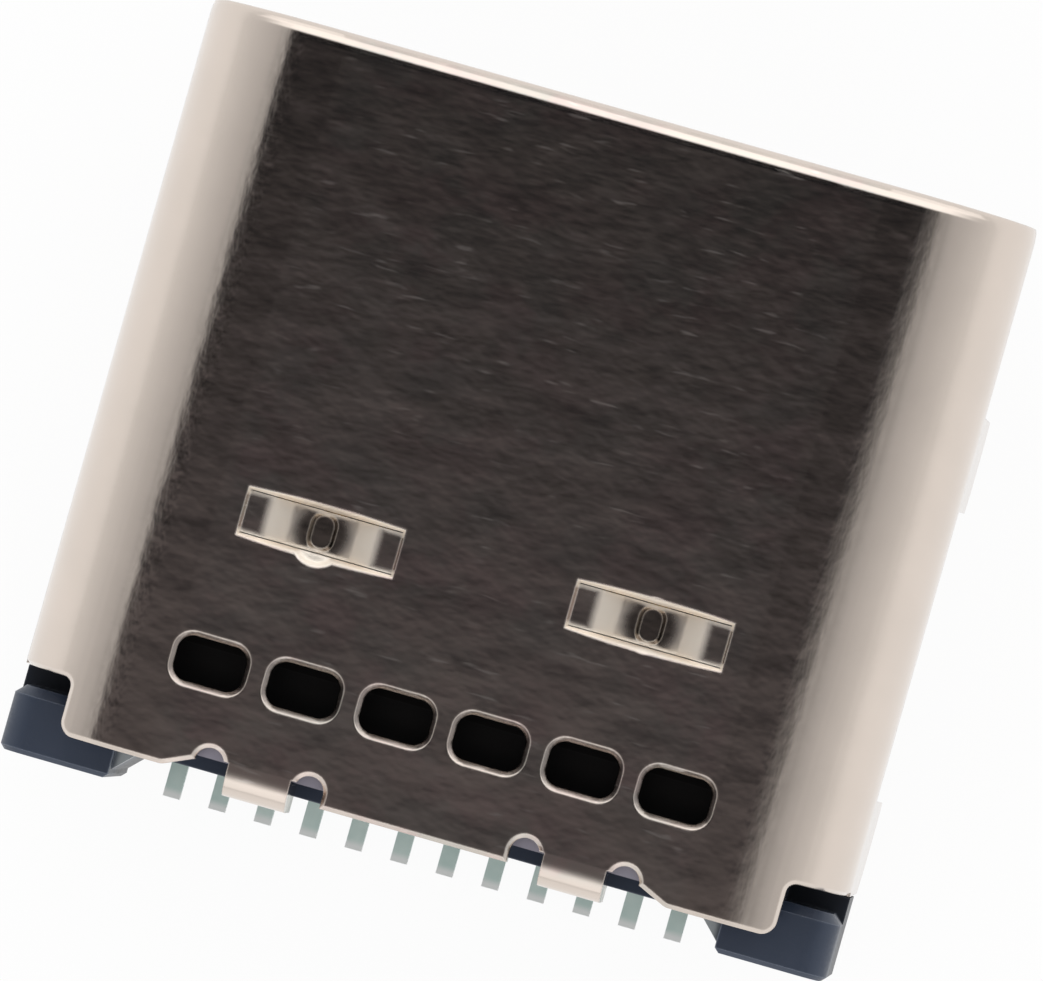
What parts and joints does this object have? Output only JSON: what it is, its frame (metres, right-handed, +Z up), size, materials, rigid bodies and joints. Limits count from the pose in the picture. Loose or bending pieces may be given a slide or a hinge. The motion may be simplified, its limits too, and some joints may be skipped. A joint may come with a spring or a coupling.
{
  "type": "usb-c socket",
  "caption": "Surface-mount reversible plug socket for a circuit board: folded steel shell with full-round mouth, contact tongue, moulded housing and through-board stakes.",
  "frame": {"origin": "on the circuit board's surface, midway between the two locating pegs", "axes": "+Z up from the board, -Y out of the mouth, +X along the row of contacts"},
  "size_m": [0.009, 0.0082, 0.0043],
  "materials": {
    "shell_steel": "satin",
    "housing_plastic": "matte",
    "wafer_plastic": "matte",
    "plate_steel": "satin",
    "collar_steel": "satin",
    "contact_gold": "polished"
  },
  "bodies": {
    "root": {"shell": "shell_steel", "housing": "housing_plastic", "upper_wafer": "wafer_plastic", "lower_wafer": "wafer_plastic", "mid_plate": "plate_steel", "ground_collar": "collar_steel", "contact_a01": "contact_gold", "contact_a02": "contact_gold", "contact_a03": "contact_gold", "contact_a04": "contact_gold", "contact_a05": "contact_gold", "contact_a06": "contact_gold", "contact_a07": "contact_gold", "contact_a08": "contact_gold", "contact_a09": "contact_gold", "contact_a10": "contact_gold", "contact_a11": "contact_gold", "contact_a12": "contact_gold", "contact_b01": "contact_gold", "contact_b02": "contact_gold", "contact_b03": "contact_gold", "contact_b04": "contact_gold", "contact_b05": "contact_gold", "contact_b06": "contact_gold", "contact_b07": "contact_gold", "contact_b08": "contact_gold", "contact_b09": "contact_gold", "contact_b10": "contact_gold", "contact_b11": "contact_gold", "contact_b12": "contact_gold"}
  },
  "joints": []
}
